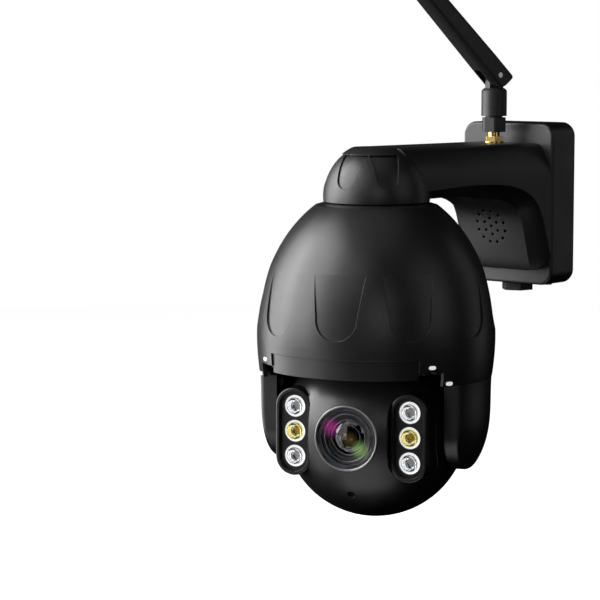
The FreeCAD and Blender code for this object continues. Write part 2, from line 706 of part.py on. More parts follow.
def ear_revolve(inset):
    side = curve([V(58.5 - inset, 0, EAR_TOP_Z + 3.0),
                  V(57.9 - inset, 0, -93.0),
                  V(57.2 - inset, 0, -105.5),
                  V(54.3 - inset, 0, -117.3),
                  V(49.0 - inset, 0, EAR_BOTTOM_Z - 1.0)])
    high = side.Vertexes[0].Point
    low = side.Vertexes[-1].Point
    return revolve([line(V(0, 0, high.z), high), side, line(low, V(0, 0, low.z)),
                    line(V(0, 0, low.z), V(0, 0, high.z))])


def tongue(inset, x, top):
    """Upright slab with a half-ellipse bottom, between two distances from the middle plane."""
    half = EAR_HALF_F - inset
    drop = EAR_MID_Z - EAR_BOTTOM_Z - inset
    angles = [math.radians(180 * i / 8.0) for i in range(9)]
    bottom = curve([V(x[0], half * math.cos(a), EAR_MID_Z - drop * math.sin(a)) for a in angles])
    right = V(x[0], half, EAR_MID_Z)
    left = V(x[0], -half, EAR_MID_Z)
    edges = [bottom, line(left, V(x[0], -half, top)),
             line(V(x[0], -half, top), V(x[0], half, top)), line(V(x[0], half, top), right)]
    return Part.Face(Part.Wire(edges)).extrude(V(x[1] - x[0], 0, 0))


def mirrored(shape):
    return shape.mirror(ORIGIN, X_AXIS)


def ear_cover(side):
    """Tongue-shaped cover hanging beside the ball; side is +1 right, -1 left."""
    outer = tongue(0.0, (EAR_INNER, 62.0), EAR_TOP_Z).common(ear_revolve(0.0))
    rounding = [e for e in outer.Edges
                if abs(e.tangentAt(e.FirstParameter).z) > 0.8 and e.CenterOfMass.x > 50
                and e.Length > 15]
    outer = outer.makeFillet(2.6, rounding)
    hollow = tongue(EAR_WALL, (EAR_INNER - 1, 62.0), EAR_TOP_Z - 2.0).common(ear_revolve(EAR_WALL))
    gate = box((EAR_INNER - 1, 55.0), (-18.0, 18.0), (EAR_TOP_Z - 6, EAR_TOP_Z + 2))
    holes = [cyl_z(1.3, (-84, -78), EAR_SCREW[0], s * EAR_SCREW[1]) for s in (-1, 1)]
    cover = outer.cut([hollow, gate] + holes)
    return on_pan(cover if side > 0 else mirrored(cover))


def ear_screws():
    screws = []
    for sx in (-1, 1):
        for sy in (-1, 1):
            x, y = sx * EAR_SCREW[0], sy * EAR_SCREW[1]
            head = cyl_z(2.2, (EAR_TOP_Z, EAR_TOP_Z + 1.3), x, y).cut(hexagon(1.8, (-79.4, -78), x, y))
            screws.append(on_pan(head.fuse(cyl_z(1.2, (-86.0, EAR_TOP_Z), x, y))))
    return Part.makeCompound(screws)


def yoke_arm(side):
    """Metal arm inside each ear that carries the tilt bearing."""
    strip = box(ARM_X, (-16.0, 16.0), (-90.0, YOKE_PLATE_Z))
    foot = tongue(EAR_WALL + 0.2, ARM_X, -86.5)
    plate = fused([strip, foot]).cut(cyl_x(7.0, (40, 50), 0, TILT_Z))
    if side > 0:
        plate = plate.cut([cyl_x(2.2, (40, 50), 0, MOTOR_Z), cyl_x(1.5, (40, 50), 0, IDLER_Z)])
    return on_pan(plate if side > 0 else mirrored(plate))


def yoke_plate():
    """Cross plate of the yoke inside the dome."""
    disc = cyl_z(53.0, (YOKE_PLATE_Z, YOKE_PLATE_Z + YOKE_T))
    disc = disc.common(box((-60, 60), (-30, 30), (-60, 0)))
    cuts = [cyl_z(RACE_R, (-50, -30)), cyl_z(2.2, (-50, -30), PAN_MOTOR_X, 0)]
    return on_pan(disc.cut(cuts))


def bearing_z(z, inner, outer):
    groove = Part.makeTorus((inner + outer) / 2, 1.1, V(0, 0, z[1]))
    return ring_z(outer, inner, z).cut(groove)


def pan_bearings():
    """Bearings in the dome's roof and in the yoke plate."""
    upper = bearing_z((3.2, 6.2), HUB_R + 0.05, RACE_R)
    lower = bearing_z((YOKE_PLATE_Z, YOKE_PLATE_Z + YOKE_T), HUB_R + 0.05, RACE_R)
    return Part.makeCompound([on_pan(upper), on_pan(lower)])


def tilt_bearings():
    rings = []
    for side, inner in ((1, 4.05), (-1, 5.05)):
        r = ring_x(7.0, inner, ARM_X, 0, TILT_Z)
        rings.append(on_pan(r if side > 0 else mirrored(r)))
    return Part.makeCompound(rings)


def pan_motor():
    body = cyl_z(10.0, (-57.0, YOKE_PLATE_Z), PAN_MOTOR_X, 0)
    rim = box((PAN_MOTOR_X - 3.5, PAN_MOTOR_X + 3.5), (-15, 15), (YOKE_PLATE_Z - 1.0, YOKE_PLATE_Z))
    return on_pan(fused([body, rim]).cut(cyl_z(1.6, (-50, -41), PAN_MOTOR_X, 0)))


def pan_pinion():
    """Pinion and its shaft on the pan motor; one gap faces the sun gear."""
    g = gear(PINION_T, 4.0, 1.0, 180.0 / PINION_T)
    g.translate(V(PAN_MOTOR_X, 0, -34.0))
    return on_pan(fused([g, cyl_z(1.5, (-49.5, -33.0), PAN_MOTOR_X, 0)]))


def tilt_motor():
    body = cyl_x(10.0, (29.0, EAR_INNER), 0, MOTOR_Z)
    rim = box((EAR_INNER - 1.0, EAR_INNER), (-15, 15), (MOTOR_Z - 3.5, MOTOR_Z + 3.5))
    return on_pan(fused([body, rim]).cut(cyl_x(1.6, (36, 46), 0, MOTOR_Z)))


def tilt_pinion():
    g = along_x(gear(PINION_T, GEAR_T, 1.0, 180.0), GEAR_X, MOTOR_Z)
    return on_pan(fused([g, cyl_x(1.5, (36.5, GEAR_X + 1.0), 0, MOTOR_Z)]))


def tilt_idler():
    """Idler gear: a gap faces up to the pinion, a tooth faces down to the tilt gear."""
    g = along_x(gear(IDLER_T, GEAR_T, 1.56, 180.0), GEAR_X, IDLER_Z)
    return on_pan(g)


def idler_pin():
    pin = cyl_x(1.5, (ARM_X[0], GEAR_X + GEAR_T + 0.3), 0, IDLER_Z)
    head = cyl_x(2.6, (GEAR_X + GEAR_T + 0.3, GEAR_X + GEAR_T + 1.3), 0, IDLER_Z)
    return on_pan(fused([pin, head]))


def main_board():
    return on_pan(ring_z(38.0, 12.0, (-16.0, -14.4)))


def board_chips():
    sites = ((20, 12, 7, 7, 2.2), (-22, 10, 5, 6, 1.6), (-18, -20, 8, 5, 3.0), (16, -22, 4, 4, 1.4),
             (28, -6, 3, 5, 4.5), (0, 27, 7, 4, 5.5), (-30, -6, 2.5, 4, 2.5))
    chips = [on_pan(box((x - hx, x + hx), (y - hy, y + hy), (-14.4, -14.4 + h)))
             for x, y, hx, hy, h in sites]
    return Part.makeCompound(chips)


def board_posts():
    sites = [(sx * 26, sy * 22) for sx in (-1, 1) for sy in (-1, 1)]
    posts = [ring_z(2.8, 1.2, (YOKE_PLATE_Z + YOKE_T, -16.0), x, y) for x, y in sites]
    return Part.makeCompound([on_pan(p) for p in posts])


# ---------------------------------------------------------------- tilt ball


def ball_body(inset, flat):
    ball = Part.makeSphere(BALL_R - inset, V(0, 0, TILT_Z), Z_AXIS)
    return ball.common(box((-flat, flat), (-60, 60), (TILT_Z - 60, TILT_Z + 60)))


def stadium(half_height, r, f, x):
    body = box((x - r, x + r), (-f[1], -f[0]), (TILT_Z - half_height, TILT_Z + half_height))
    return fused([body, cyl_f(r, f, x, TILT_Z - half_height), cyl_f(r, f, x, TILT_Z + half_height)])


def ball_front_shell():
    """Front half of the ball with openings for the lens, the two lamp pods and the light sensor."""
    shell = ball_body(0.0, BALL_FLAT).cut(ball_body(BALL_WALL, BALL_FLAT - BALL_WALL))
    shell = fused([shell.common(box((-60, 60), (-60, -0.25), (-170, -50)))] + ball_bosses())
    cuts = [cyl_f(LENS_R + 0.1, (30, 60), 0, LENS_Z), shaft_clear()]
    cuts += [stadium(LED_PITCH, POD_R + 0.15, (10, 60), s * POD_X) for s in (-1, 1)]
    cuts.append(sensor_axis(2.1, 40.0, 50.0))
    return on_pan(shell.cut(cuts))


def screw_depth(x, z):
    """Distance behind the middle plane at which a screw at (x, z) meets the ball's surface."""
    return math.sqrt(BALL_R ** 2 - x ** 2 - (z - TILT_Z) ** 2)


def ball_bosses():
    """Posts of the front half that take the screws from the rear half."""
    bosses = []
    for x, z in BALL_SCREW_SITES:
        post = Part.makeCylinder(2.8, 60.0, V(x, -40.0, z), Y_AXIS)
        front = post.common(ball_body(1.0, BALL_FLAT)).common(box((-60, 60), (-60, -5), (-170, -50)))
        back = post.common(ball_body(BALL_WALL + 0.8, BALL_FLAT)).common(
            box((-60, 60), (-6, 17), (-170, -50)))
        bore = Part.makeCylinder(1.2, 20.0, V(x, 5.0, z), Y_AXIS)
        bosses.append(fused([front, back]).cut(bore))
    return bosses


def ball_rear_shell():
    shell = ball_body(0.0, BALL_FLAT).cut(ball_body(BALL_WALL, BALL_FLAT - BALL_WALL))
    shell = shell.common(box((-60, 60), (0.25, 60), (-170, -50)))
    cuts = [shaft_clear()]
    for x, z in BALL_SCREW_SITES:
        seat = screw_depth(x, z) - HEAD_SINK
        cuts.append(Part.makeCylinder(2.6, 20.0, V(x, seat, z), Y_AXIS))
        cuts.append(Part.makeCylinder(1.4, 20.0, V(x, seat - 15.0, z), Y_AXIS))
    return on_pan(shell.cut(cuts))


def ball_seal():
    """Thin gasket between the two halves of the ball, in an upper and a lower arc."""
    ring = ring_f(BALL_R - 0.6, BALL_R - BALL_WALL + 0.4, (-0.25, 0.25), 0, TILT_Z)
    side = BALL_FLAT - 1.5
    return on_pan(ring.common(box((-side, side), (-1, 1), (-170, -50))))


def shaft_clear():
    return fused([cyl_x(4.0, (20, 60), 0, TILT_Z), cyl_x(5.0, (-60, -20), 0, TILT_Z)])


def sensor_axis(r, near, far):
    """Cylinder along a radius of the ball, below the lens."""
    drop = math.asin(SENSOR_HOLE_DROP / BALL_R)
    d = V(0, -math.cos(drop), -math.sin(drop))
    return Part.makeCylinder(r, far - near, V(0, 0, TILT_Z) + d * near, d)


def light_sensor():
    """Sensor tube set in the small round hole below the lens."""
    return on_pan(sensor_axis(2.0, 41.0, 45.3).cut(sensor_axis(1.3, 43.2, 50.0)))


def ball_screws():
    """Screws that pull the rear half onto the front half."""
    screws = []
    for x, z in BALL_SCREW_SITES:
        seat = screw_depth(x, z) - HEAD_SINK
        head = Part.makeCylinder(2.2, 1.2, V(x, seat, z), Y_AXIS)
        shank = Part.makeCylinder(1.2, seat - 7.0, V(x, 7.0, z), Y_AXIS)
        screws.append(on_pan(head.fuse(shank)))
    return Part.makeCompound(screws)


def led_sites():
    return [(s * POD_X, TILT_Z + k * LED_PITCH, k) for s in (-1, 1) for k in (-1, 0, 1)]


def led_pod(side):
    """Lamp pod: stadium-shaped block with a raised rim and three wells in its sunk face."""
    x = side * POD_X
    pod = stadium(LED_PITCH, POD_R, (18.0, POD_FRONT), x)
    rim = [e for e in pod.Edges if abs(e.CenterOfMass.y + POD_FRONT) < 1e-6]
    pod = pod.makeFillet(0.9, rim)
    recess = stadium(LED_PITCH, POD_FACE_R, (POD_FACE, POD_FRONT + 1), x)
    hollow = stadium(LED_PITCH, POD_R - 2.0, (17.0, 28.0), x)
    wells = [cyl_f(LED_R + 0.15, (29.5, 40), x, TILT_Z + k * LED_PITCH) for k in (-1, 0, 1)]
    stems = [cyl_f(2.0, (26, 31), x, TILT_Z + k * LED_PITCH) for k in (-1, 0, 1)]
    return on_pan(pod.cut([hollow, recess] + wells + stems))


def led_reflectors():
    """White cups round each lamp."""
    cups = []
    for x, z, _ in led_sites():
        cup = cyl_f(LED_R, (29.6, 35.2), x, z)
        bowl = Part.makeCone(2.2, LED_R - 0.4, 4.7, V(x, -30.6, z), -Y_AXIS)
        cups.append(on_pan(cup.cut([bowl, cyl_f(1.7, (29, 31), x, z)])))
    return Part.makeCompound(cups)


def led_lens(x, z):
    """Clear lamp lens with a domed front."""
    stem = cyl_f(1.6, (29.6, 31.0), x, z)
    body = Part.makeCone(2.0, LED_R - 0.7, 4.0, V(x, -31.0, z), -Y_AXIS)
    cap = Part.makeSphere(7.2, V(x, -35.0 + 5.5, z), Z_AXIS).common(cyl_f(LED_R - 0.7, (35.0, 40.0), x, z))
    return on_pan(fused([stem, body, cap]))


def ir_lamp_lenses():
    return Part.makeCompound([led_lens(x, z) for x, z, k in led_sites() if k != 0])


def warm_lamp_lenses():
    return Part.makeCompound([led_lens(x, z) for x, z, k in led_sites() if k == 0])


def lamp_boards():
    boards = [stadium(LED_PITCH, POD_R - 2.2, (26.2, 27.8), s * POD_X) for s in (-1, 1)]
    stems = [cyl_f(1.5, (27.8, 29.5), x, z) for x, z, _ in led_sites()]
    left = fused([boards[0]] + [s for s in stems if s.CenterOfMass.x < 0])
    right = fused([boards[1]] + [s for s in stems if s.CenterOfMass.x > 0])
    return Part.makeCompound([on_pan(left), on_pan(right)])


def lens_trim_ring():
    ring = ring_f(LENS_R, LENS_R - 1.1, (40.4, 44.0), 0, LENS_Z)
    rim = [e for e in ring.Edges if abs(e.CenterOfMass.y + 44.0) < 1e-6]
    return on_pan(ring.makeFillet(0.45, rim))


def lens_window():
    return on_pan(cyl_f(LENS_R - 1.15, (41.8, 43.0), 0, LENS_Z))


def lens_hood():
    """Stepped black funnel between the window and the front lens."""
    steps = ((15.2, 12.9, (40.4, 41.6)), (14.6, 11.0, (38.6, 40.4)), (14.0, 9.4, (36.6, 38.6)),
             (13.4, 8.3, (34.6, 36.6)))
    return on_pan(fused([ring_f(r_out, r_in, f, 0, LENS_Z) for r_out, r_in, f in steps]))


def front_lens():
    bulge = Part.makeSphere(14.0, V(0, -23.6, LENS_Z), Z_AXIS).common(cyl_f(8.2, (34.7, 40), 0, LENS_Z))
    return on_pan(fused([bulge, cyl_f(8.2, (31.6, 34.7), 0, LENS_Z)]))


def zoom_barrel():
    """Tube of the zoom lens, bored for the sliding lens group."""
    body = ring_f(12.6, 9.6, (-2.0, 31.4), 0, LENS_Z).fuse(ring_f(13.6, 8.4, (31.4, 34.5), 0, LENS_Z))
    feet = [box((s * 12.0 if s > 0 else -15.0, 15.0 if s > 0 else -12.0), (-12.0, -2.0), (-120.0, -106.0))
            for s in (-1, 1)]
    return on_pan(fused([body] + feet))


def zoom_lens_group():
    """Lens carrier that slides inside the zoom barrel."""
    carrier = ring_f(9.55, 6.5, (8.0, 15.0), 0, LENS_Z)
    glass = cyl_f(6.5, (10.0, 13.0), 0, LENS_Z)
    return on_pan(fused([carrier, glass]))


def camera_module():
    block = box((-16, 16), (2.0, 20.0), (LENS_Z - 16, LENS_Z + 16))
    upright = [e for e in block.Edges if abs(e.tangentAt(e.FirstParameter).y) > 0.9]
    return on_pan(block.makeFillet(2.0, upright))


def sensor_board():
    return on_pan(box((-19, 19), (20.0, 21.6), (LENS_Z - 19, LENS_Z + 19)))


def tilt_shafts():
    """Solid shaft on the geared side and hollow shaft for the wires, both flanged inside the ball."""
    drive = fused([cyl_x(4.0, (38.0, GEAR_X + GEAR_T), 0, TILT_Z),
                   cyl_x(8.0, (38.0, BALL_FLAT - BALL_WALL), 0, TILT_Z)])
    hollow = fused([ring_x(5.0, 3.6, (-ARM_X[1] - 2.0, -38.0), 0, TILT_Z),
                    ring_x(9.0, 3.6, (-(BALL_FLAT - BALL_WALL), -38.0), 0, TILT_Z)])
    return Part.makeCompound([on_pan(drive), on_pan(hollow)])


def tilt_gear():
    """Gear on the drive shaft; a gap faces up to the idler."""
    g = along_x(gear(TILT_GEAR_T, GEAR_T, 4.0, 180.0 / TILT_GEAR_T), GEAR_X, TILT_Z)
    return on_pan(g)


# ---------------------------------------------------------------- output

def main():
    os.makedirs("parts", exist_ok=True)
    makers = (wall_bracket, wall_plate, wall_gasket, wall_lock_screws, cable_gland, cable_gland_nut,
              cable_grommet, speaker, antenna_jack, antenna_jack_nut, antenna_collar, antenna_barrel,
              antenna_pin, antenna_blade, pan_hub, pan_hub_screws, pan_gear, pan_retaining_nut,
              dome_shell, notch_screws, skirt_studs, dome_base_ring, ear_screws, yoke_plate,
              pan_bearings, tilt_bearings, pan_motor, pan_pinion, tilt_motor, tilt_pinion, tilt_idler,
              idler_pin, main_board, board_chips, board_posts, ball_front_shell, ball_rear_shell,
              ball_seal, light_sensor, ball_screws, led_reflectors, ir_lamp_lenses, warm_lamp_lenses,
              lamp_boards, lens_trim_ring, lens_window, lens_hood, front_lens, zoom_barrel,
              zoom_lens_group, camera_module, sensor_board, tilt_shafts, tilt_gear)
    for maker in makers:
        export(maker(), maker.__name__)
    for name, side in (("left", -1), ("right", 1)):
        export(ear_cover(side), "ear_cover_" + name)
        export(yoke_arm(side), "yoke_arm_" + name)
        export(led_pod(side), "lamp_pod_" + name)


main()
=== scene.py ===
import json
import math
import bmesh
import bpy
from mathutils import Matrix, Vector


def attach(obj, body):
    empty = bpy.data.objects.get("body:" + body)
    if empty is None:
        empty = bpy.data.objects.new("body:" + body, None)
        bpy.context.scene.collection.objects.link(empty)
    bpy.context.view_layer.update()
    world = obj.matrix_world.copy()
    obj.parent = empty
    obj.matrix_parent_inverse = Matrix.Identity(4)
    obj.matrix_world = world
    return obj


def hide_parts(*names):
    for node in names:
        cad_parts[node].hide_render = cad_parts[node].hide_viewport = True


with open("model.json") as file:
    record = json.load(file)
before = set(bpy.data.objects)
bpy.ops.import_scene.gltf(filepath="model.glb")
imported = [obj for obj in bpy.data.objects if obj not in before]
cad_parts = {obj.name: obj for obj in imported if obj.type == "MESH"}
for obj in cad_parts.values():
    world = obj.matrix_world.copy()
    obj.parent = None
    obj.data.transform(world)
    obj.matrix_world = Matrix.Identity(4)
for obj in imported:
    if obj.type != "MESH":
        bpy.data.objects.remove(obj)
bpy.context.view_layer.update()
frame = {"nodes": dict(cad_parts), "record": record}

MM = 0.001
PAN = Vector((0.0, -135.7 * MM, 0.0))
REST_PAN = math.radians(18.5)
LENS_Z = -106.5
TILT_Z = -105.8
POD_X = 30.0
LED_PITCH = 12.5

# camera frame: pan axis at the origin, lens looking along -Y
CAMERA_FRAME = Matrix.Translation(PAN) @ Matrix.Rotation(REST_PAN, 4, "Z")

VIEW_AZ = math.radians(37.965)
VIEW_DIST = 1.16606
VIEW_Z = 0.0876
PITCH = math.radians(6.39)
YAW = math.radians(1.8824)
FOCAL_MM = 139.92

FLOOR_Z = -0.34
FLOOR_RADIUS = 2.5
FLOOR_GLOW = 0.95

# emission that stands in for reflections in the coated window, the front lens and the lamp cups
PAINTED_WINDOW_REFLECTION = 0.42
PAINTED_LENS_GLINTS = 0.6
PAINTED_CUP_REFLECTION = 0.55
WINDOW_IOR = 1.25

OBJECT_CENTRE = (0, -0.1357, -0.06)
BALL_SIDE = (0, -0.15, -0.13)
# soft boxes: name, azimuth, elevation, distance, size, watts, aimed at
LIGHTS = (("key", -84, 27, 1.1, (0.9, 1.3), 22, OBJECT_CENTRE),
          ("back_left", -112, 10, 1.1, (0.7, 1.3), 13, OBJECT_CENTRE),
          ("front_left", -58, 12, 1.2, (0.7, 1.3), 2.6, OBJECT_CENTRE),
          ("upper_left", -35, 35, 1.3, (0.8, 0.8), 1.8, OBJECT_CENTRE),
          ("top", 0, 75, 1.2, (0.9, 0.9), 0.8, OBJECT_CENTRE),
          ("low_left", -75, -28, 1.2, (0.8, 0.8), 3.0, OBJECT_CENTRE),
          ("floor_bounce", -20, -55, 0.9, (0.9, 0.9), 3.0, BALL_SIDE),
          ("front", 4, 12, 1.5, (0.5, 0.5), 1.2, OBJECT_CENTRE),
          ("right", 60, 20, 1.3, (0.7, 1.0), 1.4, OBJECT_CENTRE),
          ("rim", 115, 10, 1.2, (0.5, 1.0), 0.45, OBJECT_CENTRE))


# ---------------------------------------------------------------- camera, light, floor

def make_camera():
    cam = bpy.data.objects.new("camera", bpy.data.cameras.new("camera"))
    bpy.context.scene.collection.objects.link(cam)
    cam.data.sensor_width = 36.0
    cam.data.lens = FOCAL_MM
    cam.data.clip_start = 0.05
    cam.data.clip_end = 60
    cam.location = PAN + Vector((math.sin(VIEW_AZ) * VIEW_DIST, -math.cos(VIEW_AZ) * VIEW_DIST, VIEW_Z))
    cam.rotation_euler = (math.pi / 2 - PITCH, 0, VIEW_AZ + YAW)
    bpy.context.scene.camera = cam


def light(name, az, el, dist, size, power, target):
    """Soft box; az is measured from the viewer's side, positive to the viewer's right."""
    a, e = VIEW_AZ + math.radians(az), math.radians(el)
    d = bpy.data.lights.new(name, "AREA")
    d.shape = "RECTANGLE"
    d.size, d.size_y = size
    d.energy = power
    o = bpy.data.objects.new(name, d)
    bpy.context.scene.collection.objects.link(o)
    back = Vector((math.sin(a) * math.cos(e), -math.cos(a) * math.cos(e), math.sin(e)))
    o.location = Vector(target) + back * dist
    o.rotation_euler = back.to_track_quat("Z", "Y").to_euler()


def white_surroundings():
    """White to the camera only, so that the black plastic keeps its dark side."""
    w = bpy.data.worlds.new("surroundings")
    bpy.context.scene.world = w
    w.use_nodes = True
    w.node_tree.nodes["Background"].inputs["Color"].default_value = (1, 1, 1, 1)
    w.node_tree.nodes["Background"].inputs["Strength"].default_value = 1.0
    w.cycles_visibility.diffuse = False
    w.cycles_visibility.glossy = False
    w.cycles_visibility.transmission = False


def floor():
    """Pale floor that only the camera sees, lit by itself to stay white."""
    me = bpy.data.meshes.new("floor")
    bm = bmesh.new()
    bmesh.ops.create_circle(bm, cap_ends=True, radius=FLOOR_RADIUS, segments=96)
    bm.to_mesh(me)
    bm.free()
    o = bpy.data.objects.new("floor", me)
    bpy.context.scene.collection.objects.link(o)
    o.location = (0, 0, FLOOR_Z)
    m, nt, b = shader("pale_floor")
    b.inputs["Base Color"].default_value = (0.9, 0.9, 0.9, 1)
    b.inputs["Roughness"].default_value = 0.9
    b.inputs["Emission Color"].default_value = (1, 1, 1, 1)
    b.inputs["Emission Strength"].default_value = FLOOR_GLOW
    me.materials.append(m)
    o.visible_glossy = False
    o.visible_diffuse = False
    o.visible_transmission = False


# ---------------------------------------------------------------- materials

def shader(name):
    m = bpy.data.materials.new(name)
    m.use_nodes = True
    return m, m.node_tree, m.node_tree.nodes["Principled BSDF"]


def noise(nt, scale, detail=2.0, stretch=None):
    """Noise in the object's own coordinates; scale is in cells per metre."""
    coord = nt.nodes.new("ShaderNodeTexCoord")
    tex = nt.nodes.new("ShaderNodeTexNoise")
    tex.inputs["Scale"].default_value = scale
    tex.inputs["Detail"].default_value = detail
    source = coord.outputs["Object"]
    if stretch:
        mapping = nt.nodes.new("ShaderNodeMapping")
        mapping.inputs["Scale"].default_value = stretch
        nt.links.new(source, mapping.inputs["Vector"])
        source = mapping.outputs["Vector"]
    nt.links.new(source, tex.inputs["Vector"])
    return tex.outputs["Fac"]


def remap(nt, value, low, high, start=0.3, end=0.7):
    r = nt.nodes.new("ShaderNodeMapRange")
    r.inputs["From Min"].default_value = start
    r.inputs["From Max"].default_value = end
    r.inputs["To Min"].default_value = low
    r.inputs["To Max"].default_value = high
    nt.links.new(value, r.inputs["Value"])
    return r.outputs["Result"]


def mixed(nt, factor, first, second):
    """Colour between two; first may be a socket."""
    mix = nt.nodes.new("ShaderNodeMix")
    mix.data_type = "RGBA"
    nt.links.new(factor, mix.inputs["Factor"])
    for socket, value in ((mix.inputs[6], first), (mix.inputs[7], second)):
        if isinstance(value, tuple):
            socket.default_value = (*value, 1)
        else:
            nt.links.new(value, socket)
    return mix.outputs[2]


def maths(nt, operation, a, b):
    n = nt.nodes.new("ShaderNodeMath")
    n.operation = operation
    for socket, value in ((n.inputs[0], a), (n.inputs[1], b)):
        if isinstance(value, (int, float)):
            socket.default_value = value
        else:
            nt.links.new(value, socket)
    return n.outputs[0]


def rounded_normal(nt, radius):
    bevel = nt.nodes.new("ShaderNodeBevel")
    bevel.samples = 4
    bevel.inputs["Radius"].default_value = radius
    return bevel.outputs["Normal"]


def edge_mask(nt, normal):
    """Where the rounded normal leaves the face's own normal: along edges only."""
    geometry = nt.nodes.new("ShaderNodeNewGeometry")
    dot = nt.nodes.new("ShaderNodeVectorMath")
    dot.operation = "DOT_PRODUCT"
    nt.links.new(normal, dot.inputs[0])
    nt.links.new(geometry.outputs["Normal"], dot.inputs[1])
    return remap(nt, dot.outputs["Value"], 1.0, 0.0, 0.86, 0.995)


def bumped(nt, height, strength, distance, normal=None):
    bump = nt.nodes.new("ShaderNodeBump")
    bump.inputs["Strength"].default_value = strength
    bump.inputs["Distance"].default_value = distance
    nt.links.new(height, bump.inputs["Height"])
    if normal is not None:
        nt.links.new(normal, bump.inputs["Normal"])
    return bump.outputs["Normal"]


def moulded(name, color, rough, grain=0.3, scale=2200.0, radius=0.35 * MM, edge_lift=2.2, coat=0.0):
    """Moulded plastic: fine spark-eroded grain, uneven sheen, edges rounded in shading and lighter in colour.
    """
    m, nt, b = shader(name)
    normal = rounded_normal(nt, radius)
    edges = maths(nt, "MULTIPLY", edge_mask(nt, normal), remap(nt, noise(nt, 160.0, 3.0), 0.25, 1.0))
    darker = tuple(c * 0.82 for c in color)
    body = mixed(nt, remap(nt, noise(nt, 35.0, 4.0), 0.0, 1.0), color, darker)
    edge_tone = tuple(min(1.0, c * edge_lift + 0.004) for c in color)
    nt.links.new(mixed(nt, edges, body, edge_tone), b.inputs["Base Color"])
    sheen = remap(nt, noise(nt, 55.0, 5.0), rough - 0.035, rough + 0.035)
    fine = remap(nt, noise(nt, scale * 0.5, 2.0), -0.03, 0.03)
    nt.links.new(maths(nt, "ADD", sheen, fine), b.inputs["Roughness"])
    height = maths(nt, "ADD", noise(nt, scale, 3.0), maths(nt, "MULTIPLY", noise(nt, 90.0, 2.0), 0.6))
    nt.links.new(bumped(nt, height, grain, 0.06 * MM, normal), b.inputs["Normal"])
    b.inputs["Coat Weight"].default_value = coat
    b.inputs["Coat Roughness"].default_value = 0.25
    return m


def metal(name, color, rough, stretch=(1, 1, 30), scale=300.0):
    """Plated or turned metal with fine drawn lines."""
    m, nt, b = shader(name)
    b.inputs["Metallic"].default_value = 1.0
    normal = rounded_normal(nt, 0.2 * MM)
    lines = noise(nt, scale, 4.0, stretch)
    nt.links.new(remap(nt, lines, rough - 0.06, rough + 0.08), b.inputs["Roughness"])
    darker = tuple(c * 0.72 for c in color)
    nt.links.new(mixed(nt, remap(nt, noise(nt, 120.0, 4.0), 0.0, 1.0), color, darker), b.inputs["Base Color"])
    nt.links.new(bumped(nt, lines, 0.2, 0.02 * MM, normal), b.inputs["Normal"])
    return m


def glass(name, color, rough, ior=1.5):
    """Clear optical plastic or glass with faint smears."""
    m, nt, b = shader(name)
    b.inputs["Transmission Weight"].default_value = 1.0
    b.inputs["IOR"].default_value = ior
    b.inputs["Base Color"].default_value = (*color, 1)
    nt.links.new(remap(nt, noise(nt, 140.0, 5.0), rough, rough + 0.03), b.inputs["Roughness"])
    nt.links.new(bumped(nt, noise(nt, 260.0, 2.0), 0.03, 0.02 * MM), b.inputs["Normal"])
    return m


def painted_reflection_spots(nt, spots):
    """Painted reflections as soft coloured emission spots on the lens; each spot is (colour, x, y, height,
    reach) in mm.
    """
    centre = along_lens(0, LENS_Z)
    coord = nt.nodes.new("ShaderNodeTexCoord")
    color = (0.0, 0.0, 0.0)
    for tint, x, y, height, reach in spots:
        near = nt.nodes.new("ShaderNodeVectorMath")
        near.operation = "DISTANCE"
        near.inputs[1].default_value = centre @ Vector((x * MM, y * MM, height * MM))
        nt.links.new(coord.outputs["Object"], near.inputs[0])
        color = mixed(nt, remap(nt, near.outputs["Value"], 1.0, 0.0, 0.0, reach * MM), color, tint)
    return color


def window_with_painted_reflections(name):
    """Clear window carrying painted reflections: emitted magenta spots on one side and green on the other."""
    m = glass(name, (0.98, 0.98, 0.99), 0.0, WINDOW_IOR)
    nt = m.node_tree
    b = nt.nodes["Principled BSDF"]
    spots = (((0.30, 0.02, 0.19), -8.2, 4.9, 43.0, 5.2), ((0.16, 0.30, 0.07), 7.0, -5.6, 43.0, 5.4))
    nt.links.new(painted_reflection_spots(nt, spots), b.inputs["Emission Color"])
    b.inputs["Emission Strength"].default_value = PAINTED_WINDOW_REFLECTION
    return m


def dark_lens(name):
    """Deep front lens with small warm glints near its middle and a faint broad warm patch, all painted as
    emission.
    """
    m, nt, b = shader(name)
    b.inputs["Base Color"].default_value = (0.004, 0.004, 0.006, 1)
    spots = (((0.75, 0.42, 0.30), -1.8, 1.2, 39.9, 0.9), ((0.8, 0.55, 0.1), 1.6, -0.9, 39.9, 0.8),
             ((0.10, 0.07, 0.02), 0.4, -1.2, 39.9, 4.5))
    nt.links.new(painted_reflection_spots(nt, spots), b.inputs["Emission Color"])
    b.inputs["Emission Strength"].default_value = PAINTED_LENS_GLINTS
    nt.links.new(remap(nt, noise(nt, 140.0, 5.0), 0.03, 0.07), b.inputs["Roughness"])
    b.inputs["Coat Weight"].default_value = 1.0
    return m


